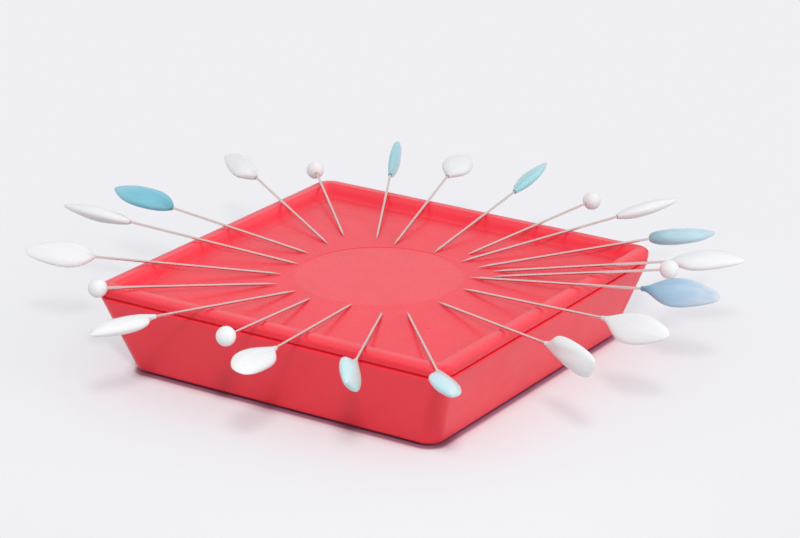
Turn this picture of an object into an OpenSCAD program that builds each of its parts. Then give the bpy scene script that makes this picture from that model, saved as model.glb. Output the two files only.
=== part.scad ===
// Magnetic pin tray: a square red tray on a hollow base, with a magnet under its
// floor and loose pins that lie on it like the rays of a star.
// The origin is on the table, under the middle of the tray. +Z is up.

/* [Tray] */
// Width of the square tray across its rim
tray_w = 100; // [90:1:120]
// Radius of the rim's corners
tray_corner_r = 4.5; // [3.5:0.5:8]
// Width of the flat rim
rim_w = 3.7; // [3.2:0.1:4.5]
// Height of the lip above the shadow line
lip_h = 2.4; // [2:0.1:3]
// Depth of the tray floor below the rim
floor_drop = 2.6; // [2:0.1:3.6]
// Distance that the inner wall leans in on its way down to the floor
wall_lean = 2.5; // [1:0.1:3.5]
// Thickness of the tray floor
floor_t = 2; // [1.6:0.1:3]
// Distance that the centre disc reaches past the magnet
disc_margin = 1.2; // [0.5:0.1:3]
// Depth of the centre disc below the floor
disc_drop = 0.1; // [0.05:0.05:0.4]
// Rounding of the rim's outer edge
rim_roll = 1.4; // [0.6:0.1:1.6]
// Rounding of the rim's inner edge
rim_edge = 0.5; // [0.3:0.05:0.7]
// Width of the wall that stands down inside the base
spigot_t = 1.6; // [1.2:0.1:2.5]

/* [Base] */
// Height of the sloping sides
side_h = 19.5; // [18:0.5:30]
// Distance that each side leans in on its way down
side_lean = 6.3; // [4:0.1:7.5]
// Radius of the base's corners at the bottom
base_corner_r = 4; // [3.5:0.5:6]
// Thickness of the sloping walls
wall_t = 2.2; // [1.6:0.1:2.8]
// Thickness of the base's floor
base_t = 2; // [1.8:0.1:3]
// Rounding of the base's bottom edge
base_edge = 0.8; // [0.4:0.1:1.2]
// Rounding of the base's top edge, below the shadow line
shoulder_edge = 0.6; // [0.3:0.1:0.7]
// Height of the shadow line between base and tray
seam_gap = 0.6; // [0.3:0.05:0.8]
// Depth of the shadow line, measured in from the tray's side
seam_depth = 1; // [0.8:0.1:1.3]
// Chamfer of the tray's bottom edge, above the shadow line
seam_edge = 0.3; // [0.2:0.05:0.4]
// Width of the land that the tray's lip rests on
land_w = 1.9; // [1.2:0.1:2.2]
// Depth of the step inside the walls that takes the tray's wall
step_depth = 5.2; // [4:0.1:7]
// Clearance between the two mouldings
fit_gap = 0.3; // [0.2:0.05:0.4]

/* [Magnet] */
// Radius of the magnet
magnet_r = 19.5; // [17:0.5:22]
// Thickness of the magnet
magnet_t = 6; // [4:0.5:8]
// Thickness of the steel plate under the magnet
keeper_t = 1.5; // [1:0.1:2.5]
// Thickness of the foam pad under the plate
pad_t = 1; // [0.6:0.1:2]
// Distance from the magnet's edge to the pad and the post under it
post_inset = 4.5; // [3:0.5:7]
// Thickness of the post's wall and of the collar round the magnet
ring_t = 1.8; // [1.4:0.1:2.6]

/* [Screws and sole] */
// Distance from the tray's side to the middle of a screw
screw_inset = 16; // [15:0.5:18]
// Diameter of a screw's shank
screw_d = 2.9; // [2.5:0.1:3.2]
// Length of a screw's shank
screw_len = 10; // [8:0.5:11]
// Diameter of a screw's head
screw_head_d = 5.6; // [5:0.1:6]
// Height of a screw's head
screw_head_h = 1.9; // [1.5:0.1:2]
// Chamfer of a screw's edges
screw_edge = 0.5; // [0.3:0.1:0.6]
// Diameter of the tray's screw bosses
boss_d = 7; // [6.5:0.1:8]
// Height of the base's screw bosses above its floor
base_boss_h = 5; // [4.5:0.5:6]
// Thickness of the wall round a base boss's well
well_wall = 0.9; // [0.8:0.1:1.2]
// Distance from the base's bottom edge to the rubber sole
sole_inset = 4; // [3:0.1:4.5]
// Radius of the sole's corners
sole_corner_r = 6; // [4:0.5:8]
// Height that the sole stands proud of the base
sole_proud = 0.8; // [0.5:0.1:1.5]
// Depth of the recess that holds the sole
sole_recess = 0.6; // [0.4:0.1:0.9]

/* [Pins] */
// Diameter of a needle
needle_d = 0.65; // [0.5:0.05:0.8]
// Length of the needles with a leaf head
leaf_needle_len = 50; // [48:0.5:54]
// Length of the needles with a ball head
ball_needle_len = 43.5; // [42:0.5:46]
// Length of a needle's point
point_len = 3; // [2:0.5:5]
// Length of a leaf head
leaf_len = 19.5; // [17:0.5:22]
// Width of a leaf head
leaf_w = 8; // [7:0.1:9]
// Thickness of a leaf head
leaf_t = 3.6; // [3.2:0.1:5]
// Radius of a leaf head's neck
neck_r = 0.6; // [0.55:0.05:1]
// Diameter of a ball head
ball_d = 4.7; // [4.5:0.1:5.2]
// Clearance between a pin that lies on the tray and the tray
pin_gap = 0.1; // [0.05:0.05:0.2]
// Clearance between a needle and its head's socket
socket_gap = 0.03; // [0.02:0.01:0.05]

/* [Hidden] */
RED = [0.89, 0.23, 0.28];
FERRITE = [0.2, 0.2, 0.22];
STEEL = [0.75, 0.75, 0.77];
FOAM = [0.35, 0.35, 0.36];
RUBBER = [0.13, 0.13, 0.14];

// Colour of each kind of pin head
HEAD_COLOURS = [
    ["pearl", [0.93, 0.94, 0.93]],
    ["aqua", [0.72, 0.87, 0.9]],
    ["blue", [0.42, 0.74, 0.84]],
    ["ball", [0.96, 0.97, 0.96]],
];

// Each pin as it lies: the bearing of the point where it crosses the tray's side,
// its own heading, the share of its needle that is bare outside that point and the
// share that is inside its head, its kind of head, the head's turn about the needle
// (0 lies flat), and how far a leaf is slanted, leans to one side and bends at its end
PINS = [
    [178.5, 184, 0.28, 0.18, "blue", -18, 0.45, -0.1, 0],
    [192.5, 192, 0.33, 0.07, "pearl", 20, 0, 0, 0],
    [213.0, 213, 0.21, 0.08, "pearl", -33, 0, 0, 0],
    [229.8, 230.5, 0.06, 0.03, "ball", 0, 0, 0, 0],
    [251.0, 257, 0.29, 0.11, "pearl", 9, -1, 0.2, -0.08],
    [269.0, 278, 0.32, 0.05, "ball", 0, 0, 0, 0],
    [283.0, 281, 0.31, 0.09, "pearl", -14, -0.35, -0.1, -0.04],
    [299.5, 295, 0.23, 0.13, "aqua", -57, 0.25, 0.05, 0.04],
    [313.5, 311, 0.10, 0.05, "aqua", -24, 0, 0, 0.03],
    [336.5, 334, 0.31, 0.07, "pearl", -86, 0.85, 0.15, 0],
    [355.5, 346, 0.36, 0.07, "pearl", 45, 0.25, -0.2, -0.1],
    [15.5, 6, 0.30, 0.09, "blue", 46, 0.15, 0, -0.12],
    [26.0, 21, 0.31, 0.05, "ball", 0, 0, 0, 0],
    [32.0, 26, 0.26, 0.12, "pearl", 10, 0.4, 0, -0.05],
    [47.5, 49, 0.05, 0.09, "blue", -3, -1, -0.3, -0.07],
    [60.5, 62, 0.23, 0.07, "pearl", -20, 0, 0, 0],
    [69.5, 72, 0.31, 0.07, "ball", 0, 0, 0, 0],
    [87.5, 91, 0.24, 0.18, "blue", -31, 0.3, 0.35, 0.05],
    [108.0, 104, 0.27, 0.12, "pearl", 9, 0.2, 0, -0.1],
    [121.0, 118, 0.16, 0.20, "blue", -88, -0.5, 0, -0.05],
    [137.0, 134, 0.06, 0.05, "ball", 0, 0, 0, 0],
    [151.5, 150, 0.26, 0.12, "pearl", 1, -0.65, 0.15, -0.05],
];

// Steps round each quarter of a corner, and round and along a leaf head
CORNER_STEPS = 8;
LEAF_SIDES = 16;
LEAF_STEPS = 11;
// Powers that shift a leaf's widest place towards its neck and blunt its ends
LEAF_SHIFT = 0.78;
LEAF_BLUNT = 0.55;
// Smallest corner radius inside a moulding, and radius of a needle's very tip
LEAST_R = 1;
SHARP_R = 0.04;
// Extra depth of a cut, so that it passes its own surface
CUT = 0.5;
$fn = 64;

// Heights of the base, from the table up
base_z = sole_proud;
base_floor_z = base_z + base_t;
shoulder_z = base_z + side_h;
seam_z = shoulder_z + seam_gap;
step_z = seam_z - step_depth;
// Heights of the tray
rim_z = seam_z + lip_h;
floor_z = rim_z - floor_drop;
under_z = floor_z - floor_t;
spigot_z = step_z + fit_gap;
// Heights of the magnet's stack, from the top down
magnet_z = under_z - magnet_t;
keeper_z = magnet_z - keeper_t;
pad_z = keeper_z - pad_t;
// Heights of the sole and the screws
sole_top_z = base_z + sole_recess;
head_seat_z = sole_top_z + screw_head_h + fit_gap;
boss_z = base_floor_z + base_boss_h;

// Half widths, from the tray's side inwards
side_x = tray_w / 2;
land_x = side_x - seam_depth;
step_x = land_x - land_w;
spigot_x = step_x - fit_gap;
inner_x = side_x - rim_w;
floor_x = inner_x - wall_lean;

sole_x = side_x - side_lean - sole_inset;

disc_r = magnet_r + disc_margin;
post_r = magnet_r - post_inset;
screw_x = side_x - screw_inset;
bore_d = screw_d + 2 * socket_gap;
hole_d = screw_d + 2 * fit_gap;
well_d = screw_head_d + 2 * fit_gap;

// Square with rounded corners, as one ring of points at height z
function ring(half, r, z) = [
    for (c = [0:3], k = [0:CORNER_STEPS])
        let (turn = 90 * (c + k / CORNER_STEPS), middle = 90 * c + 45)
        [
            sign(cos(middle)) * (half - r) + r * cos(turn),
            sign(sin(middle)) * (half - r) + r * sin(turn),
            z
        ]
];

// Ring inside the tray's side, with its corners concentric with the rim's
function tray_ring(half, z) = ring(half, max(LEAST_R, tray_corner_r - side_x + half), z);

// Half width and corner radius of the sloping side at height z
function lean_at(z) = (shoulder_z - z) / side_h;
function side_half(z) = side_x - side_lean * lean_at(z);
function side_r(z) = tray_corner_r + (base_corner_r - tray_corner_r) * lean_at(z);

// Ring at height z, set in from the sloping side
function base_ring(inset, z) = ring(side_half(z) - inset, max(LEAST_R, side_r(z) - inset), z);

// Solid whose skin passes through a list of rings and is closed flat at both ends
module loft(rings) {
    n = len(rings[0]);
    last = len(rings) - 1;
    skin = [
        for (j = [0:last - 1], i = [0:n - 1])
            let (a = j * n, b = a + n, next = (i + 1) % n)
            each [[a + i, b + i, b + next], [a + i, b + next, a + next]]
    ];
    first_end = [for (i = [0:n - 1]) i];
    last_end = [for (i = [n - 1:-1:0]) last * n + i];
    polyhedron([for (one = rings) each one], concat(skin, [first_end, last_end]), convexity = 8);
}

// Copies of a shape at the four screws
module at_screws() {
    for (x = [-1, 1], y = [-1, 1])
        translate([x * screw_x, y * screw_x, 0]) children();
}

// Round wall standing from low_z up to high_z
module round_wall(outer_r, inner_r, low_z, high_z) {
    translate([0, 0, low_z]) difference() {
        cylinder(r = outer_r, h = high_z - low_z);
        translate([0, 0, -CUT]) cylinder(r = inner_r, h = high_z - low_z + 2 * CUT);
    }
}

// Top moulding: rim, leaning inner wall, floor with its disc, and the wall,
// collar and screw bosses under it
module tray_top() {
    collar_r = magnet_r + fit_gap;
    rings = concat(
        [
            tray_ring(spigot_x - spigot_t, under_z),
            tray_ring(spigot_x - spigot_t, spigot_z),
            tray_ring(spigot_x, spigot_z),
            tray_ring(spigot_x, seam_z),
            tray_ring(side_x - seam_edge, seam_z),
            tray_ring(side_x, seam_z + seam_edge),
        ],
        [
            for (a = [0:22.5:90])
                tray_ring(side_x - rim_roll * (1 - cos(a)), rim_z - rim_roll * (1 - sin(a)))
        ],
        [
            for (a = [0:45:90])
                tray_ring(inner_x + rim_edge * (1 - sin(a)), rim_z - rim_edge * (1 - cos(a)))
        ],
        [tray_ring(floor_x, floor_z)]
    );
    color(RED) difference() {
        union() {
            loft(rings);
            round_wall(collar_r + ring_t, collar_r, magnet_z, under_z + CUT);
            at_screws() translate([0, 0, boss_z])
                cylinder(d = boss_d, h = under_z - boss_z + CUT);
        }
        translate([0, 0, floor_z - disc_drop]) cylinder(r = disc_r, h = floor_drop, $fn = 128);
        at_screws() translate([0, 0, boss_z - CUT])
            cylinder(d = bore_d, h = head_seat_z + screw_len - boss_z + 2 * CUT);
    }
}

// Lower moulding: sloping sides, floor, the land and step at the top, the post
// under the magnet, the screw bosses, and the recess for the sole
module base_shell() {
    bottom_edge = [
        for (a = [0:30:90])
            let (z = base_z + base_edge * (1 - cos(a)))
            base_ring(base_edge * (1 - sin(a)), z)
    ];
    shoulder = [
        for (a = [0:30:90])
            let (z = shoulder_z - shoulder_edge * (1 - sin(a)))
            base_ring(shoulder_edge * (1 - cos(a)), z)
    ];
    top = [
        tray_ring(land_x, shoulder_z),
        tray_ring(land_x, seam_z),
        tray_ring(step_x, seam_z),
        tray_ring(step_x, step_z),
    ];
    inside = [base_ring(wall_t, step_z), base_ring(wall_t, base_floor_z)];
    color(RED) difference() {
        union() {
            loft(concat(bottom_edge, shoulder, top, inside));
            round_wall(post_r, post_r - ring_t, base_floor_z - CUT, pad_z);
            at_screws() translate([0, 0, base_floor_z - CUT])
                cylinder(d = well_d + 2 * well_wall, h = base_boss_h + CUT);
        }
        sole_shape(fit_gap, base_z - CUT);
        at_screws() {
            translate([0, 0, base_z]) cylinder(d = well_d, h = head_seat_z - base_z);
            translate([0, 0, base_z]) cylinder(d = hole_d, h = boss_z - base_z + CUT);
        }
    }
}

// Ferrite disc that holds the pins
module magnet() {
    color(FERRITE) translate([0, 0, magnet_z]) cylinder(r = magnet_r, h = magnet_t);
}

// Steel disc under the magnet
module keeper_plate() {
    color(STEEL) translate([0, 0, keeper_z]) cylinder(r = magnet_r, h = keeper_t);
}

// Foam disc between the steel plate and the base's post
module magnet_pad() {
    color(FOAM) translate([0, 0, pad_z]) cylinder(r = post_r, h = pad_t);
}

// Four screws that pull the tray down onto the base
module housing_screws() {
    color(STEEL) at_screws() translate([0, 0, head_seat_z]) rotate_extrude() polygon([
        [0, -screw_head_h],
        [screw_head_d / 2 - screw_edge, -screw_head_h],
        [screw_head_d / 2, screw_edge - screw_head_h],
        [screw_head_d / 2, 0],
        [screw_d / 2, 0],
        [screw_d / 2, screw_len - screw_edge],
        [screw_d / 2 - screw_edge, screw_len],
        [0, screw_len],
    ]);
}

// Square with rounded corners from low_z up to the recess's roof, grown by gap
module sole_shape(gap, low_z) {
    loft([for (z = [low_z, sole_top_z]) ring(sole_x + gap, sole_corner_r + gap, z)]);
}

// Rubber sole, stuck in its recess over the screws
module sole() {
    color(RUBBER) sole_shape(0, 0);
}

// Where a pin crosses the tray's side, which way it points, and where its tip lies
function crossing(pin) =
    let (way = [cos(pin[0]), sin(pin[0])])
    way * side_x / max(abs(way[0]), abs(way[1]));
function aim(pin) = [cos(pin[1]), sin(pin[1])];
function is_ball(pin) = pin[4] == "ball";
function needle_len(pin) = is_ball(pin) ? ball_needle_len : leaf_needle_len;
function socket_depth(pin) = needle_len(pin) * pin[3];
function bare_len(pin) = needle_len(pin) - socket_depth(pin);
function tip(pin) = crossing(pin) - aim(pin) * (bare_len(pin) - needle_len(pin) * pin[2]);

// Level distance from a tip to the rim's inner edge
function run(pin) = min([
    for (a = [0, 1])
        if (abs(aim(pin)[a]) > 0.001)
            (sign(aim(pin)[a]) * inner_x - tip(pin)[a]) / aim(pin)[a]
]);

// A pin rests on the floor behind its point and on the rim's inner edge
function tilt(pin) = atan2(floor_drop, run(pin) - point_len);
function tip_z(pin) =
    floor_z + pin_gap + needle_d / 2 / cos(tilt(pin)) - point_len * tan(tilt(pin));

function head_colour(pin) = [for (c = HEAD_COLOURS) if (c[0] == pin[4]) c[1]][0];

// Puts a shape that lies along +X, with its tip at the origin, where a pin lies
module as_pin(pin) {
    translate([tip(pin)[0], tip(pin)[1], tip_z(pin)]) rotate([0, -tilt(pin), pin[1]]) children();
}

// Steel shaft with its point
module needle(pin) {
    color(STEEL) as_pin(pin) rotate([0, 90, 0]) rotate_extrude($fn = 24) polygon([
        [0, 0],
        [SHARP_R, 0],
        [needle_d / 2, point_len],
        [needle_d / 2, needle_len(pin)],
        [0, needle_len(pin)],
    ]);
}

// How full a leaf head is at the share s of its length, most at two fifths
function fullness(s) = sin(180 * pow(s, LEAF_SHIFT));
function leaf_half(size, s) =
    norm([size / 2 * pow(fullness(s), LEAF_BLUNT), neck_r * (1 - s) + SHARP_R]);

// Flat leaf that starts at its neck and lies along +X. The slant carries one side
// ahead of the other, the lean moves the middle sideways and the bend lifts the end
module leaf(slant, lean, bend) {
    loft([
        for (k = [0:LEAF_STEPS])
            let (s = (1 - cos(180 * k / LEAF_STEPS)) / 2)
            [
                for (i = [0:LEAF_SIDES - 1])
                    let (turn = 360 * i / LEAF_SIDES, y = leaf_half(leaf_w, s) * cos(turn))
                    [
                        leaf_len * s + slant * y * fullness(s),
                        y + lean * leaf_w / 2 * fullness(s),
                        leaf_half(leaf_t, s) * sin(turn) + bend * leaf_len * s * s
                    ]
            ]
    ]);
}

// Plastic head with the socket that takes the needle's blunt end
module head(pin) {
    color(head_colour(pin)) as_pin(pin) translate([bare_len(pin), 0, 0]) rotate([pin[5], 0, 0])
        difference() {
            if (is_ball(pin)) translate([ball_d / 2, 0, 0]) sphere(d = ball_d);
            else leaf(pin[6], pin[7], pin[8]);
            translate([-CUT, 0, 0]) rotate([0, 90, 0]) cylinder(
                d = needle_d + 2 * socket_gap,
                h = CUT + socket_depth(pin) + socket_gap
            );
        }
}

function pin_name(i, piece) = str("pin_", i < 9 ? "0" : "", i + 1, "_", piece);
LAST_PIN = len(PINS) - 1;

tray_top();
base_shell();
magnet();
keeper_plate();
magnet_pad();
housing_screws();
sole();
for (i = [0:LAST_PIN])
    needle(PINS[i]);
for (i = [0:LAST_PIN])
    head(PINS[i]);
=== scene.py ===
"""Looks of the magnetic pin tray: the red mouldings with finer edges, the shaped heads of the
pins, and every material, floor, lamp and camera. Lengths are in millimetres until MM turns
them into metres."""
import math

import bmesh
import bpy
from mathutils import Matrix, Vector, noise
from mathutils.geometry import tessellate_polygon


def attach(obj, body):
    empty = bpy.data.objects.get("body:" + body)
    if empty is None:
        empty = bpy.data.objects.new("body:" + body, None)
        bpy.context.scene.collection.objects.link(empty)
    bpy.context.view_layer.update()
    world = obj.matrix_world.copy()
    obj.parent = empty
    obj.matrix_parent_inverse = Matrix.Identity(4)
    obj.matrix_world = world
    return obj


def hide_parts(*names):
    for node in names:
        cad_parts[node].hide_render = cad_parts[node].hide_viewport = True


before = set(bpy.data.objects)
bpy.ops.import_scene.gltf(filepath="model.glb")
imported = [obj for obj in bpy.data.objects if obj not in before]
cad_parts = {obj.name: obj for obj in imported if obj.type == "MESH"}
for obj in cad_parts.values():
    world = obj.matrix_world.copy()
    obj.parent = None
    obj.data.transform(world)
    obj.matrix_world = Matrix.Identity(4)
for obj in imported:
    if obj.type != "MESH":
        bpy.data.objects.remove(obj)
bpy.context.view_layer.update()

MM = 0.001


# ---------------------------------------------------------------- mesh helpers

def rounded_square(half, r, z, steps=20):
    """Ring of points round a square with rounded corners."""
    points = []
    for c in range(4):
        mid = math.radians(90 * c + 45)
        cx = math.copysign(half - r, math.cos(mid))
        cy = math.copysign(half - r, math.sin(mid))
        for k in range(steps + 1):
            turn = math.radians(90 * (c + k / steps))
            points.append((cx + r * math.cos(turn), cy + r * math.sin(turn), z))
    return points


def circle(r, z, count=72, x=0.0, y=0.0):
    """Ring of points round an upright axis."""
    turns = [2 * math.pi * (k + 0.5) / count for k in range(count)]
    return [(x + r * math.cos(t), y + r * math.sin(t), z) for t in turns]


def arc(count, start=0, end=90):
    """Angles of a fillet's steps, in radians."""
    return [math.radians(start + (end - start) * k / count) for k in range(count + 1)]


class Shell:
    """Closed skin, put together from rings of points in millimetres."""

    def __init__(self):
        self.bm = bmesh.new()

    def ring(self, points):
        return [self.bm.verts.new((p[0] * MM, p[1] * MM, p[2] * MM)) for p in points]

    def join(self, a, b):
        for i in range(len(a)):
            j = (i + 1) % len(a)
            self.bm.faces.new((a[i], a[j], b[j], b[i]))

    def loft(self, rings):
        """Skin through the rings; returns the first and the last one's points."""
        made = [self.ring(r) for r in rings]
        for a, b in zip(made, made[1:]):
            self.join(a, b)
        return made[0], made[-1]

    def cap(self, ring):
        self.bm.faces.new(ring)

    def plate(self, outer, holes):
        """Flat face between an outer ring and the rings of its holes."""
        loops = [outer, *holes]
        flat = [v for loop in loops for v in loop]
        for tri in tessellate_polygon([[v.co for v in loop] for loop in loops]):
            self.bm.faces.new([flat[i] for i in tri])

    def piece(self, name, material, sharp=30, place=None):
        """Object with smooth shading that keeps its sharp edges. A piece that is made in a frame
        of its own keeps its own coordinates as an attribute, for its material."""
        if place:
            own = self.bm.verts.layers.float_vector.new("own")
            for v in self.bm.verts:
                v[own] = v.co
                v.co = place @ v.co
        bmesh.ops.recalc_face_normals(self.bm, faces=self.bm.faces)
        mesh = bpy.data.meshes.new(name)
        self.bm.to_mesh(mesh)
        self.bm.free()
        mesh.polygons.foreach_set("use_smooth", [True] * len(mesh.polygons))
        mesh.set_sharp_from_angle(angle=math.radians(sharp))
        mesh.materials.append(material)
        obj = bpy.data.objects.new(name, mesh)
        bpy.context.collection.objects.link(obj)
        return obj


def even_normals(obj):
    """Lets the large faces set the normals next to a fillet."""
    mod = obj.modifiers.new("normals", "WEIGHTED_NORMAL")
    mod.weight = 60
    mod.keep_sharp = True


# ---------------------------------------------------------------- materials

def new_material(name):
    mat = bpy.data.materials.new(name)
    mat.use_nodes = True
    nodes, links = mat.node_tree.nodes, mat.node_tree.links
    return mat, nodes, links, nodes["Principled BSDF"]


def place_of(nodes, links, stretch=(1, 1, 1), own=False):
    """Object coordinates, or a piece's own coordinates, stretched."""
    if own:
        source = nodes.new("ShaderNodeAttribute")
        source.attribute_name = "own"
        place = source.outputs["Vector"]
    else:
        place = nodes.new("ShaderNodeTexCoord").outputs["Object"]
    mapping = nodes.new("ShaderNodeMapping")
    mapping.inputs["Scale"].default_value = stretch
    links.new(place, mapping.inputs["Vector"])
    return mapping.outputs["Vector"]


def calc(nodes, links, operation, *values):
    """One step of arithmetic on sockets or plain numbers."""
    node = nodes.new("ShaderNodeMath")
    node.operation = operation
    for value, socket in zip(values, node.inputs):
        if isinstance(value, bpy.types.NodeSocket):
            links.new(value, socket)
        else:
            socket.default_value = value
    return node.outputs["Value"]


def length_of(nodes, links, parts):
    """Length of a flat vector from its two parts."""
    squares = [calc(nodes, links, "POWER", part, 2.0) for part in parts]
    return calc(nodes, links, "SQRT", calc(nodes, links, "ADD", *squares))


def add_noise(nodes, links, place, scale, detail, rough=0.5):
    tex = nodes.new("ShaderNodeTexNoise")
    tex.inputs["Scale"].default_value = scale
    tex.inputs["Detail"].default_value = detail
    tex.inputs["Roughness"].default_value = rough
    links.new(place, tex.inputs["Vector"])
    return tex.outputs["Fac"]


def spread(nodes, links, value, low, high, start=0.3, end=0.7):
    """Maps a value onto a range; the plain ends suit a noise."""
    ranged = nodes.new("ShaderNodeMapRange")
    ranged.inputs["From Min"].default_value = start
    ranged.inputs["From Max"].default_value = end
    ranged.inputs["To Min"].default_value = low
    ranged.inputs["To Max"].default_value = high
    links.new(value, ranged.inputs["Value"])
    return ranged.outputs["Result"]


def ramp(nodes, links, value, stops):
    """Colour along a value, through (place, colour) stops."""
    node = nodes.new("ShaderNodeValToRGB")
    elements = node.color_ramp.elements
    while len(elements) < len(stops):
        elements.new(0.5)
    for element, (place, colour) in zip(elements, stops):
        element.position = place
        element.color = (*colour, 1)
    links.new(value, node.inputs["Fac"])
    return node.outputs["Color"]


def mix(nodes, links, factor, a, b):
    """Blend of two colours, each a socket or a plain colour."""
    node = nodes.new("ShaderNodeMix")
    node.data_type = "RGBA"
    for value, socket in ((factor, node.inputs[0]), (a, node.inputs[6]), (b, node.inputs[7])):
        if isinstance(value, bpy.types.NodeSocket):
            links.new(value, socket)
        elif isinstance(value, (int, float)):
            socket.default_value = value
        else:
            socket.default_value = (*value, 1)
    return node.outputs[2]


def bump(nodes, links, height, shader, strength, depth):
    node = nodes.new("ShaderNodeBump")
    node.inputs["Strength"].default_value = strength
    node.inputs["Distance"].default_value = depth
    links.new(height, node.inputs["Height"])
    links.new(node.outputs["Normal"], shader.inputs["Normal"])


def shade(colour, factor):
    return tuple(min(1.0, c * factor) for c in colour)


# Scales of the textures, per metre of the object
FLOW_SCALE, GLOSS_SCALE, GRAIN_SCALE, STREAK_SCALE = 45, 220, 900, 480
# Depths of the bumps, in metres
GRAIN_DEPTH, MARK_DEPTH, STREAK_DEPTH = 0.00003, 0.00002, 0.0001
MOULDED_IOR, HEAD_IOR = 1.47, 1.49
# The tray's gloss changes this far past the disc's edge, and, as painted sheen on the rim, between
# these two heights
SHEEN_SOFT, SHEEN_LOW_Z, SHEEN_HIGH_Z = 0.5, 22.0, 22.6
# The needle's painted shade in a pale head is full this far from its axis, and fades out by that
NEEDLE_SHADE_CORE, NEEDLE_SHADE_EDGE = 0.2, 0.7


def moulded_plastic(name, colour, rough, sheen=None):
    """Satin plastic with a faint flow of colour, uneven gloss and a fine mould texture."""
    mat, nodes, links, shader = new_material(name)
    place = place_of(nodes, links)
    flow = add_noise(nodes, links, place, FLOW_SCALE, 2)
    gloss = add_noise(nodes, links, place, GLOSS_SCALE, 2)
    grain = add_noise(nodes, links, place, GRAIN_SCALE, 1)
    links.new(ramp(nodes, links, flow, [(0.3, shade(colour, 0.96)), (0.7, shade(colour, 1.03))]),
              shader.inputs["Base Color"])
    links.new(spread(nodes, links, gloss, rough - 0.03, rough + 0.04), shader.inputs["Roughness"])
    bump(nodes, links, grain, shader, 0.03, GRAIN_DEPTH)
    shader.inputs["IOR"].default_value = MOULDED_IOR
    if sheen:
        # the centre disc is glossier than the floor round it, and the rim is made glossier as
        # painted sheen
        low, disc, rim = sheen
        split = nodes.new("ShaderNodeSeparateXYZ")
        links.new(place, split.inputs["Vector"])
        out = length_of(nodes, links, [split.outputs["X"], split.outputs["Y"]])
        inside = spread(nodes, links, out, disc - low, 0,
                        DISC_R * MM, (DISC_R + SHEEN_SOFT) * MM)
        high = spread(nodes, links, split.outputs["Z"], 0, rim - low,
                      SHEEN_LOW_Z * MM, SHEEN_HIGH_Z * MM)
        level = calc(nodes, links, "ADD", calc(nodes, links, "ADD", inside, high), low)
        links.new(level, shader.inputs["Specular IOR Level"])
    return mat


def steel(name, colour, rough, scale=900, relief=0.05):
    """Plated steel with a fine mottle in its colour and gloss."""
    mat, nodes, links, shader = new_material(name)
    marks = add_noise(nodes, links, place_of(nodes, links), scale, 3)
    links.new(ramp(nodes, links, marks, [(0.3, shade(colour, 0.92)), (0.7, colour)]),
              shader.inputs["Base Color"])
    links.new(spread(nodes, links, marks, rough - 0.04, rough + 0.06), shader.inputs["Roughness"])
    bump(nodes, links, marks, shader, relief, MARK_DEPTH)
    shader.inputs["Metallic"].default_value = 1.0
    return mat


def matt(name, colour, rough, scale, strength, depth):
    """Rubber, foam or ferrite: a mottled colour and a rough surface."""
    mat, nodes, links, shader = new_material(name)
    speck = add_noise(nodes, links, place_of(nodes, links), scale, 4, 0.6)
    links.new(ramp(nodes, links, speck, [(0.35, shade(colour, 0.75)), (0.65, shade(colour, 1.2))]),
              shader.inputs["Base Color"])
    links.new(spread(nodes, links, speck, rough - 0.06, rough + 0.06), shader.inputs["Roughness"])
    bump(nodes, links, speck, shader, strength, depth)
    return mat


def head_plastic(name, neck, body, tip, length, streak, sheen_colour, needle_shade=None, clear=0.0):
    """Pearly plastic in a pin head's own frame: deeper at the neck, paler towards the tip,
    streaked along its length, and with painted shade where the needle stands inside it."""
    mat, nodes, links, shader = new_material(name)
    split = nodes.new("ShaderNodeSeparateXYZ")
    links.new(place_of(nodes, links, own=True), split.inputs["Vector"])
    along = spread(nodes, links, split.outputs["X"], 0, 1, 0, length * MM)
    near_neck = tuple((a + 2 * b) / 3 for a, b in zip(neck, body))
    colour = ramp(nodes, links, along, [(0.0, neck), (0.2, near_neck), (0.5, body), (1.0, tip)])
    lengthways = place_of(nodes, links, (0.14, 1, 1), own=True)
    lines = add_noise(nodes, links, lengthways, STREAK_SCALE, 1)
    share = spread(nodes, links, lines, 0, streak, 0.4, 0.65)
    colour = mix(nodes, links, share, colour, sheen_colour)
    # painted shade where the needle stands inside the head
    if needle_shade:
        reach, depth, dark = needle_shade
        across = calc(nodes, links, "ABSOLUTE", split.outputs["Y"])
        near = spread(nodes, links, across, 1, 0, NEEDLE_SHADE_CORE * MM, NEEDLE_SHADE_EDGE * MM)
        root = spread(nodes, links, split.outputs["X"], depth, 0, 0, reach * MM)
        colour = mix(nodes, links, calc(nodes, links, "MULTIPLY", near, root), colour, dark)
    links.new(colour, shader.inputs["Base Color"])
    links.new(spread(nodes, links, lines, 0.2, 0.28), shader.inputs["Roughness"])
    bump(nodes, links, lines, shader, 0.06, STREAK_DEPTH)
    shader.inputs["IOR"].default_value = HEAD_IOR
    shader.inputs["Subsurface Weight"].default_value = 0.3
    shader.inputs["Subsurface Radius"].default_value = (1.0, 1.0, 1.0)
    shader.inputs["Subsurface Scale"].default_value = 0.0015
    shader.inputs["Coat Weight"].default_value = 0.15
    shader.inputs["Coat Roughness"].default_value = 0.1
    shader.inputs["Transmission Weight"].default_value = clear
    return mat


# ---------------------------------------------------------------- tray and base

RED = (0.9, 0.027, 0.05)

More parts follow.
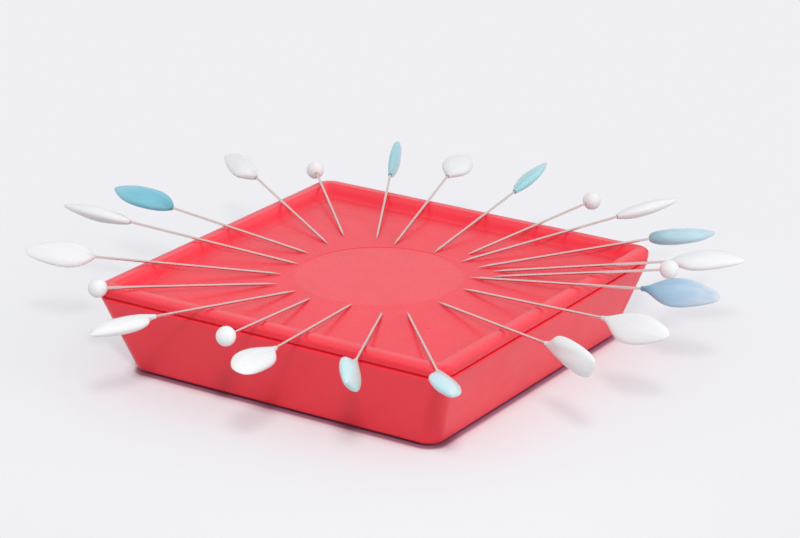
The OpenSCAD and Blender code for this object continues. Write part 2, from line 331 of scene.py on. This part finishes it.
# Half widths and heights of the two mouldings, from the middle out and from the table up
SIDE, CORNER_R = 50.0, 4.5
INNER, FLOOR_HALF = 46.3, 43.8
SEAM_Z, RIM_Z, FLOOR_Z, UNDER_Z = 20.9, 23.3, 20.7, 18.7
ROLL, ROLL_H, EDGE = 2.0, 1.0, 0.6
DISC_R, DISC_DROP = 20.7, 0.1
STEP_HALF, SPIGOT_HALF, SPIGOT_WALL, SPIGOT_Z = 47.1, 46.8, 1.6, 16.0
MAGNET_Z, COLLAR_R, COLLAR_WALL = 12.7, 19.8, 1.8
SCREW_XY, BOSS_R, BORE_R, BOSS_Z, BORE_TOP = 34.0, 3.5, 1.48, 7.8, 14.1
BASE_Z, BASE_FLOOR_Z, SHOULDER_Z, STEP_Z, PAD_Z = 0.8, 2.8, 20.3, 15.7, 10.2
LEAN, SIDE_H, BASE_CORNER_R, WALL = 6.3, 19.5, 4.0, 2.2
BASE_EDGE, SHOULDER_EDGE, SEAM_EDGE, LAND = 0.8, 0.6, 0.3, 49.0
POST_R, POST_WALL = 15.0, 1.8
WELL_R, WELL_WALL, HOLE_R, WELL_TOP = 3.1, 0.9, 1.75, 3.6
RECESS_HALF, RECESS_R, RECESS_Z = 40.0, 6.3, 1.4
# Fillet between the tray's wall and floor, roundness of the disc's edge, and width of the ring
# inside that edge
FLOOR_FILLET, DISC_SOFT, DISC_FLAT = 1.0, 0.05, 2

screws = [(x * SCREW_XY, y * SCREW_XY) for x in (1, -1) for y in (1, -1)]


def tray_ring(half, z):
    return rounded_square(half, max(1.0, CORNER_R - SIDE + half), z)


def base_ring(inset, z):
    lean = (SHOULDER_Z - z) / SIDE_H
    r = CORNER_R + (BASE_CORNER_R - CORNER_R) * lean
    return rounded_square(SIDE - LEAN * lean - inset, max(1.0, r - inset), z)


def tray_look(material):
    """Top moulding with rounded rim edges, a filleted floor and a soft-edged disc."""
    shell = Shell()
    rings = [
        tray_ring(SPIGOT_HALF - SPIGOT_WALL, UNDER_Z),
        tray_ring(SPIGOT_HALF - SPIGOT_WALL, SPIGOT_Z),
        tray_ring(SPIGOT_HALF, SPIGOT_Z),
        tray_ring(SPIGOT_HALF, SEAM_Z),
        tray_ring(SIDE - SEAM_EDGE, SEAM_Z),
    ]
    rings += [tray_ring(SIDE - SEAM_EDGE * (1 - math.sin(a)),
                        SEAM_Z + SEAM_EDGE * (1 - math.cos(a)))
              for a in arc(4)[1:]]
    rings += [tray_ring(SIDE - ROLL * (1 - math.cos(a)), RIM_Z - ROLL_H * (1 - math.sin(a)))
              for a in arc(14)]
    lean = math.degrees(math.atan2(INNER - FLOOR_HALF, RIM_Z - EDGE - FLOOR_Z))
    rings += [tray_ring(INNER + EDGE * (1 - math.sin(a)), RIM_Z - EDGE * (1 - math.cos(a)))
              for a in arc(8, 0, 90 - lean / 2)]
    # the wall meets the floor in a fillet
    slope = Vector((INNER - FLOOR_HALF, RIM_Z - EDGE - FLOOR_Z)).normalized()
    foot = Vector((FLOOR_HALF, FLOOR_Z))
    start, end = foot + slope * FLOOR_FILLET, foot - Vector((FLOOR_FILLET, 0))
    fillet_steps = 6
    for k in range(fillet_steps + 1):
        t = k / fillet_steps
        point = start.lerp(foot, t).lerp(foot.lerp(end, t), t)
        rings.append(tray_ring(point[0], point[1]))
    bottom, top = shell.loft(rings)

    # the disc's rings have as many points as the tray's, so that they join
    quarter = len(top) // 4
    turns = [math.radians(90 * (c + (k + 0.5) / quarter)) for c in range(4) for k in range(quarter)]

    def disc_ring(r, z):
        return [(r * math.cos(t), r * math.sin(t), z) for t in turns]

    low = FLOOR_Z - DISC_DROP
    profile = [(DISC_R + DISC_SOFT * (1 - math.sin(a)), FLOOR_Z - DISC_SOFT * (1 - math.cos(a)))
               for a in arc(4)]
    profile += [(DISC_R - DISC_SOFT * (1 - math.cos(a)), low + DISC_SOFT * (1 - math.sin(a)))
                for a in arc(4)]
    profile += [(DISC_R - DISC_FLAT, low)]
    first, last = shell.loft([disc_ring(r, z) for r, z in profile])
    shell.join(top, first)
    shell.cap(last)

    collar = [circle(COLLAR_R + COLLAR_WALL, UNDER_Z), circle(COLLAR_R + COLLAR_WALL, MAGNET_Z),
              circle(COLLAR_R, MAGNET_Z), circle(COLLAR_R, UNDER_Z)]
    collar_root, collar_roof = shell.loft(collar)
    shell.cap(collar_roof)
    holes = [collar_root]
    for x, y in screws:
        root, bore = shell.loft([
            circle(r, z, 32, x, y)
            for r, z in ((BOSS_R, UNDER_Z), (BOSS_R, BOSS_Z), (BORE_R, BOSS_Z), (BORE_R, BORE_TOP))
        ])
        shell.cap(bore)
        holes.append(root)
    shell.plate(bottom, holes)
    obj = shell.piece("tray_look", material)
    even_normals(obj)
    return obj


def base_look(material):
    """Lower moulding with rounded edges, the post, the bosses and the sole's recess."""
    shell = Shell()
    rings = [base_ring(BASE_EDGE * (1 - math.sin(a)), BASE_Z + BASE_EDGE * (1 - math.cos(a)))
             for a in arc(8)]
    rings += [base_ring(SHOULDER_EDGE * (1 - math.cos(a)),
                        SHOULDER_Z - SHOULDER_EDGE * (1 - math.sin(a)))
              for a in arc(7)]
    rings += [tray_ring(LAND, SHOULDER_Z), tray_ring(LAND, SEAM_Z), tray_ring(STEP_HALF, SEAM_Z),
              tray_ring(STEP_HALF, STEP_Z), base_ring(WALL, STEP_Z), base_ring(WALL, BASE_FLOOR_Z)]
    under, floor = shell.loft(rings)
    post, well = shell.loft([circle(r, z) for r, z in ((POST_R, BASE_FLOOR_Z), (POST_R, PAD_Z),
                                                       (POST_R - POST_WALL, PAD_Z),
                                                       (POST_R - POST_WALL, BASE_FLOOR_Z))])
    shell.cap(well)
    tops, wells = [post], []
    for x, y in screws:
        outer = WELL_R + WELL_WALL
        root, mouth = shell.loft([
            circle(r, z, 40, x, y)
            for r, z in ((outer, BASE_FLOOR_Z), (outer, BOSS_Z), (HOLE_R, BOSS_Z),
                         (HOLE_R, WELL_TOP), (WELL_R, WELL_TOP), (WELL_R, RECESS_Z))
        ])
        tops.append(root)
        wells.append(mouth)
    shell.plate(floor, tops)
    recess, roof = shell.loft([rounded_square(RECESS_HALF, RECESS_R, z)
                               for z in (BASE_Z, RECESS_Z)])
    shell.join(under, recess)
    shell.plate(roof, wells)
    obj = shell.piece("base_look", material)
    even_normals(obj)
    return obj


# ---------------------------------------------------------------- pin heads

PIN_COUNT = 22
LEAF_LEN = 19.5
NECK_R, SHARP_R, SOCKET_R = 0.55, 0.04, 0.355
# The socket goes this far past the needle's end
SEAT = 0.05
# Strength of a leaf's ribs, and how fast they change along it and across it
RIB, RIB_ALONG, RIB_ACROSS = 0.14, 2.2, 0.55
BALL_R = 2.35
# A ball's collar: its radius and where its edge ends, its face, the slope of that edge, and how
# much wider than the collar the ball starts
COLLAR_TOP_R, COLLAR_X, COLLAR_FACE, COLLAR_EDGE, COLLAR_SINK = 0.75, 0.12, 0.02, 0.15, 0.12

# Each leaf head: its turn about the needle in degrees, its length, width and thickness, how slim
# it stays at the neck and at the tip, where it is widest, and its lean, slant and bend
LEAVES = {
    1: (-18, 18.0, 7.4, 3.6, 0.61, 0.61, 0.93, -0.10, 0.45, 0.01),
    2: (20, 19.0, 7.6, 3.4, 0.60, 0.60, 0.85, 0.00, 0.10, 0.00),
    3: (-33, 17.0, 7.6, 3.4, 1.00, 0.45, 0.78, 0.00, 0.00, 0.00),
    5: (9, 19.2, 7.3, 3.5, 1.07, 0.77, 1.20, 0.22, -1.00, -0.08),
    7: (-14, 19.3, 7.9, 3.4, 0.98, 0.36, 1.20, -0.09, -0.36, -0.04),
    8: (-57, 18.8, 7.8, 3.3, 1.15, 1.00, 1.20, 0.07, 0.27, 0.04),
    9: (-24, 18.6, 7.6, 3.4, 1.10, 0.94, 1.09, 0.00, 0.00, 0.03),
    10: (-86, 19.5, 7.8, 3.8, 0.86, 0.61, 1.20, 0.17, 0.85, 0.00),
    11: (45, 19.3, 8.0, 3.5, 1.20, 0.57, 1.10, -0.20, 0.25, -0.10),
    12: (46, 19.3, 7.5, 3.6, 1.50, 0.49, 0.95, -0.06, 0.13, -0.12),
    14: (10, 17.8, 7.8, 3.5, 1.00, 0.60, 0.85, 0.00, 0.40, -0.05),
    15: (-3, 17.6, 7.6, 3.9, 1.14, 0.50, 0.70, -0.33, -1.00, -0.07),
    16: (-20, 18.5, 7.6, 3.4, 0.70, 0.60, 0.90, 0.00, 0.20, 0.00),
    18: (-31, 18.4, 7.0, 3.0, 0.78, 0.90, 1.05, 0.38, 0.28, 0.05),
    19: (9, 18.0, 8.0, 3.4, 1.20, 0.42, 0.86, -0.05, 0.20, -0.10),
    20: (-88, 19.0, 7.4, 2.8, 0.65, 0.74, 1.20, 0.00, -0.53, -0.05),
    22: (1, 18.4, 8.0, 3.6, 1.11, 0.49, 0.83, 0.13, -0.66, -0.05),
}
BALLS = (4, 6, 13, 17, 21)


def points_of(node):
    return [v.co.copy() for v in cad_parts[node].data.vertices]


def head_frame(n, turn=0):
    """Where a pin's head starts, which way it lies, and how deep its needle stands in it."""
    needle = points_of("pin_%02d_needle" % n)
    head = points_of("pin_%02d_head" % n)
    middle = sum(head, Vector()) / len(head)
    tip = max(needle, key=lambda p: (p - middle).length)
    end = max(needle, key=lambda p: (p - tip).length)
    far = [p for p in needle if (p - end).length < MM]
    blunt = sum(far, Vector()) / len(far)
    along = (blunt - tip).normalized()
    start = min((p - tip).dot(along) for p in head)
    depth = (blunt - tip).dot(along) - start
    side = Vector((0, 0, 1)).cross(along).normalized()
    angle = math.radians(turn)
    across = side * math.cos(angle) + along.cross(side) * math.sin(angle)
    place = Matrix((along, across, along.cross(across))).transposed().to_4x4()
    place.translation = tip + along * start
    return place, depth / MM


def leaf_look(n, material):
    """One leaf head: a swelling flat leaf with soft ribs, made in its own frame along +X."""
    turn, length, width, thickness, near, far, widest, lean, slant, bend = LEAVES[n]
    place, depth = head_frame(n, turn)
    steps, sides = 44, 40
    shell = Shell()

    def socket_ring(x):
        return [(x, SOCKET_R * math.cos(t), SOCKET_R * math.sin(t))
                for t in (2 * math.pi * k / sides for k in range(sides))]

    rings = [socket_ring(depth + SEAT), socket_ring(0)]
    for k in range(steps + 1):
        s = (1 - math.cos(math.pi * k / steps)) / 2
        full = max(0.0, math.sin(math.pi * s ** widest))
        swell = full ** (near + (far - near) * s)
        thick = full ** 0.6
        neck = NECK_R * (1 - s) + SHARP_R
        half_w = math.hypot(width / 2 * swell, neck)
        half_t = math.hypot(thickness / 2 * thick, neck)
        ring = []
        for i in range(sides):
            around = 2 * math.pi * i / sides
            across = half_w * math.cos(around)
            # each pin, and each face of its leaf, has ribs of its own
            own_ribs = 7.3 * n + (0 if math.sin(around) > 0 else 50)
            rib = noise.noise(Vector((s * RIB_ALONG, across * RIB_ACROSS, own_ribs)))
            ring.append((
                length * s + slant * across * full,
                across + lean * width / 2 * full,
                half_t * math.sin(around) * (1 + RIB * rib * thick) + bend * length * s * s,
            ))
        rings.append(ring)
    first, last = shell.loft(rings)
    shell.cap(first)
    shell.cap(last)
    return shell.piece("pin_%02d_leaf" % n, material, 60, place)


def ball_look(n, material):
    """One ball head with the small collar that its needle enters."""
    place, depth = head_frame(n)
    sides, steps = 48, 32
    shell = Shell()
    profile = [(depth + SEAT, SOCKET_R), (COLLAR_FACE, SOCKET_R),
               (COLLAR_FACE, COLLAR_TOP_R - COLLAR_EDGE), (COLLAR_X, COLLAR_TOP_R)]
    # the ball runs from its collar nearly to the far end, which a small flat closes
    first = math.asin((COLLAR_TOP_R + COLLAR_SINK) / BALL_R)
    last = math.pi - 0.03
    for k in range(steps + 1):
        a = first + (last - first) * k / steps
        profile.append((BALL_R - BALL_R * math.cos(a), BALL_R * math.sin(a)))
    start, end = shell.loft([
        [(x, r * math.cos(2 * math.pi * k / sides), r * math.sin(2 * math.pi * k / sides))
         for k in range(sides)]
        for x, r in profile
    ])
    shell.cap(start)
    shell.cap(end)
    return shell.piece("pin_%02d_ball" % n, material, 50, place)


# ---------------------------------------------------------------- the object

tray_plastic = moulded_plastic("tray_plastic", RED, 0.28, (0.34, 0.54, 0.78))
# painted light: the base's red is 3% lighter than the tray's, to make up for the weaker light on
# its sides
base_plastic = moulded_plastic("base_plastic", shade(RED, 1.03), 0.33)
node_materials = {
    "magnet": matt("ferrite", (0.03, 0.03, 0.033), 0.6, 700, 0.3, 0.0001),
    "keeper_plate": steel("keeper_steel", (0.62, 0.64, 0.66), 0.3),
    "magnet_pad": matt("foam", (0.06, 0.06, 0.065), 0.85, 1800, 0.6, 0.0002),
    "housing_screws": steel("screw_steel", (0.6, 0.6, 0.62), 0.28),
    "sole": matt("sole_rubber", (0.02, 0.02, 0.022), 0.7, 1500, 0.3, 0.0001),
}
# painted reflection: the needles' steel is tinted salmon for the red tray that they reflect
needle_steel = steel("needle_steel", (0.80, 0.65, 0.61), 0.26, scale=1400, relief=0)
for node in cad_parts:
    if node.endswith("_needle"):
        node_materials[node] = needle_steel
for node, material in node_materials.items():
    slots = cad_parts[node].data.materials
    slots.clear()
    slots.append(material)

tray = tray_look(tray_plastic)
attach(tray, "housing")
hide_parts("tray_top")
base = base_look(base_plastic)
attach(base, "housing")
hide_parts("base_shell")

WHITE = (0.8, 0.805, 0.805)
# neck, body, tip, streaks' share, streaks' colour and clearness of each head with a colour
HEAD_COLOURS = {
    1: ((0.10, 0.36, 0.46), (0.20, 0.56, 0.70), (0.36, 0.68, 0.72), 0.4, (0.30, 0.72, 0.80), 0.1),
    12: ((0.05, 0.26, 0.38), (0.46, 0.64, 0.79), (0.70, 0.74, 0.80), 0.45, (0.30, 0.50, 0.68), 0.1),
    15: ((0.18, 0.38, 0.47), (0.50, 0.72, 0.80), (0.54, 0.70, 0.78), 0.4, (0.58, 0.76, 0.84), 0.1),
    18: ((0.28, 0.60, 0.66), (0.38, 0.72, 0.75), (0.50, 0.64, 0.72), 0.4, (0.45, 0.80, 0.82), 0.1),
    20: ((0.28, 0.58, 0.66), (0.36, 0.68, 0.74), (0.42, 0.66, 0.74), 0.4, (0.45, 0.76, 0.80), 0.1),
    8: ((0.50, 0.72, 0.72), (0.58, 0.78, 0.76), (0.60, 0.74, 0.78), 0.5, (0.50, 0.82, 0.82), 0.05),
    9: ((0.52, 0.80, 0.80), (0.60, 0.81, 0.83), (0.62, 0.79, 0.81), 0.5, (0.52, 0.79, 0.85), 0.05),
}
# painted shade of the needle inside a pale head: how far it reaches from the neck, how strong it
# is, and its colour
NEEDLE_SHADE = (3.0, 0.4, (0.5, 0.5, 0.52))
# the pearl heads are also a little darker at the neck, as painted shade round the needle
pearl = head_plastic("head_pearl", shade(WHITE, 0.95), WHITE, WHITE, LEAF_LEN,
                     0.3, (0.85, 0.87, 0.87), NEEDLE_SHADE)
white_ball = head_plastic("head_ball", WHITE, WHITE, WHITE, 2 * BALL_R,
                          0.1, (0.84, 0.85, 0.85))

for n in range(1, PIN_COUNT + 1):
    pin = "pin_%02d" % n
    if n in BALLS:
        piece, slot = ball_look(n, white_ball), "head_ball"
    elif n in HEAD_COLOURS:
        neck, body, tip, streak, line, clear = HEAD_COLOURS[n]
        slot = "head_aqua" if n in (8, 9) else "head_blue"
        material = head_plastic("%s_%02d" % (slot, n), neck, body, tip, LEAF_LEN,
                                streak, line, None, clear)
        piece = leaf_look(n, material)
    else:
        piece, slot = leaf_look(n, pearl), "head_pearl"
    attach(piece, pin)
    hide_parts(pin + "_head")


# ---------------------------------------------------------------- stage, lamps, camera

def rays_seen(nodes, links):
    """1 for camera, glossy and transmission rays."""
    path = nodes.new("ShaderNodeLightPath")
    total = path.outputs["Is Camera Ray"]
    for name in ("Is Glossy Ray", "Is Transmission Ray"):
        total = calc(nodes, links, "MAXIMUM", total, path.outputs[name])
    return total


PALE = (0.868, 0.862, 0.9)
# The paper as the camera sees it, as it lights the object, and in the painted shadow round the base
PAPER, PAPER_DIM, PAPER_PAINTED_SHADOW = (0.87, 0.9, 0.92), (0.55, 0.548, 0.56), (0.42, 0.2, 0.3)
# Where the painted contact shadow fades, the first share of the clearness rises and the rest rises.
# All count from the square that the base's corners are rounded about, so its outline is at 4.0
PAINTED_SHADOW_FADE, NEAR_RISE, FAR_RISE = (4.2, 5.3), (4.8, 7.8), (16, 120)
NEAR_CLEAR = 0.45
FLOOR_REACH = 4.0          # metres


def add_stage():
    """Paper floor that keeps the shadows, has painted shade round the base and looks pale to the
    camera.
    """
    mesh = bpy.data.meshes.new("studio_floor")
    corners = [(x * FLOOR_REACH, y * FLOOR_REACH, 0)
               for x, y in ((-1, -1), (1, -1), (1, 1), (-1, 1))]
    mesh.from_pydata(corners, [], [(0, 1, 2, 3)])
    floor = bpy.data.objects.new("studio_floor", mesh)
    bpy.context.collection.objects.link(floor)
    mat, nodes, links, shader = new_material("studio_floor")
    split = nodes.new("ShaderNodeSeparateXYZ")
    links.new(nodes.new("ShaderNodeTexCoord").outputs["Object"], split.inputs["Vector"])
    # half of the square that the corners of the base's foot are rounded about
    core = (SIDE - LEAN - BASE_CORNER_R) * MM
    past = []
    for axis in ("X", "Y"):
        away = calc(nodes, links, "ABSOLUTE", split.outputs[axis])
        past.append(calc(nodes, links, "MAXIMUM", calc(nodes, links, "SUBTRACT", away, core), 0.0))
    reach = length_of(nodes, links, past)

    def rise(high, ends):
        return spread(nodes, links, reach, 0, high, ends[0] * MM, ends[1] * MM)

    # camera and mirrored rays see the paper pale, more so away from the tray, with painted shadow
    # under it
    seen = rays_seen(nodes, links)
    clear = calc(nodes, links, "ADD", rise(NEAR_CLEAR, NEAR_RISE), rise(1 - NEAR_CLEAR, FAR_RISE))
    paper = mix(nodes, links, rise(1, PAINTED_SHADOW_FADE), PAPER_PAINTED_SHADOW, PAPER)
    links.new(mix(nodes, links, seen, PAPER_DIM, paper), shader.inputs["Base Color"])
    shader.inputs["Roughness"].default_value = 0.9
    shader.inputs["Specular IOR Level"].default_value = 0.1
    # the clear share shows the world's pale colour behind the floor
    see_through = nodes.new("ShaderNodeBsdfTransparent")
    blend = nodes.new("ShaderNodeMixShader")
    links.new(calc(nodes, links, "MULTIPLY", seen, clear), blend.inputs["Fac"])
    links.new(shader.outputs["BSDF"], blend.inputs[1])
    links.new(see_through.outputs["BSDF"], blend.inputs[2])
    links.new(blend.outputs["Shader"], nodes["Material Output"].inputs["Surface"])
    mesh.materials.append(mat)


# Strength of the world's light level with the object and straight above it
WORLD_SIDE, WORLD_TOP = 0.58, 0.84


def add_world():
    """Soft light from all round, with the pale background for the rays that show it."""
    world = bpy.data.worlds.new("studio")
    bpy.context.scene.world = world
    world.use_nodes = True
    nodes, links = world.node_tree.nodes, world.node_tree.links
    # a little more light falls from above than from the sides
    light = nodes["Background"]
    light.inputs["Color"].default_value = (0.98, 0.98, 1.02, 1)
    height = nodes.new("ShaderNodeSeparateXYZ")
    links.new(nodes.new("ShaderNodeTexCoord").outputs["Generated"], height.inputs["Vector"])
    links.new(spread(nodes, links, height.outputs["Z"], WORLD_SIDE, WORLD_TOP, 0, 1),
              light.inputs["Strength"])
    seen = nodes.new("ShaderNodeBackground")
    seen.inputs["Color"].default_value = (*PALE, 1)
    seen.inputs["Strength"].default_value = 1.0
    blend = nodes.new("ShaderNodeMixShader")
    links.new(rays_seen(nodes, links), blend.inputs["Fac"])
    links.new(light.outputs["Background"], blend.inputs[1])
    links.new(seen.outputs["Background"], blend.inputs[2])
    links.new(blend.outputs["Shader"], nodes["World Output"].inputs["Surface"])


LAMP_AIM_Z = 20


def towards(azimuth, elevation):
    """Direction from the tray, both angles in radians: azimuth 0 is the -Y side, and a quarter
    turn on is the +X side."""
    return Vector((math.sin(azimuth) * math.cos(elevation),
                   -math.cos(azimuth) * math.cos(elevation), math.sin(elevation)))


def add_lamp(name, azimuth, elevation, distance, size, power, colour=(1, 1, 1)):
    """Round lamp that faces the tray and leaves no glare, its angles in degrees and its lengths
    in metres."""
    back = towards(math.radians(azimuth), math.radians(elevation))
    lamp = bpy.data.lights.new(name, "AREA")
    lamp.shape = "DISK"
    lamp.size = size
    lamp.energy = power
    lamp.color = colour
    obj = bpy.data.objects.new(name, lamp)
    bpy.context.collection.objects.link(obj)
    obj.rotation_euler = back.to_track_quat("Z", "Y").to_euler()
    obj.location = back * distance + Vector((0, 0, LAMP_AIM_Z * MM))
    obj.visible_glossy = False


# The photo's camera, fitted to the tray's edges: its azimuth, elevation and roll in degrees, the
# height that it looks at, how far it stands off and is shifted, and its focal length in pixels
CAMERA_TURNS = (32.68, 20.02, 0.38)
CAMERA_AIM_Z, CAMERA_DISTANCE, CAMERA_RIGHT, CAMERA_UP = 15.8, 714.7, 5.1, 6.11
FOCAL_PIXELS, PICTURE_WIDTH, SENSOR_WIDTH = 2895, 800, 36


def add_camera():
    """Camera at the photo's viewing angle."""
    azimuth, elevation, roll = (math.radians(v) for v in CAMERA_TURNS)
    back = towards(azimuth, elevation)
    right = Vector((math.cos(azimuth), math.sin(azimuth), 0))
    up = back.cross(right)
    place = (Vector((0, 0, CAMERA_AIM_Z)) + back * CAMERA_DISTANCE
             + right * CAMERA_RIGHT + up * CAMERA_UP)
    turned_right = right * math.cos(roll) + up * math.sin(roll)
    turned_up = up * math.cos(roll) - right * math.sin(roll)
    camera = bpy.data.cameras.new("camera")
    camera.sensor_width = SENSOR_WIDTH
    camera.lens = SENSOR_WIDTH * FOCAL_PIXELS / PICTURE_WIDTH
    camera.clip_start = 0.01
    obj = bpy.data.objects.new("camera", camera)
    bpy.context.collection.objects.link(obj)
    frame_of = Matrix((turned_right, turned_up, back)).transposed().to_4x4()
    frame_of.translation = place * MM
    obj.matrix_world = frame_of
    bpy.context.scene.camera = obj


add_stage()
add_world()
add_lamp("key", 34, 38.5, 0.85, 0.09, 2.6, (1.0, 0.99, 0.97))
add_lamp("fill", 105, 13, 1.6, 0.8, 6.6)
add_camera()
bpy.context.scene.view_settings.view_transform = "Standard"
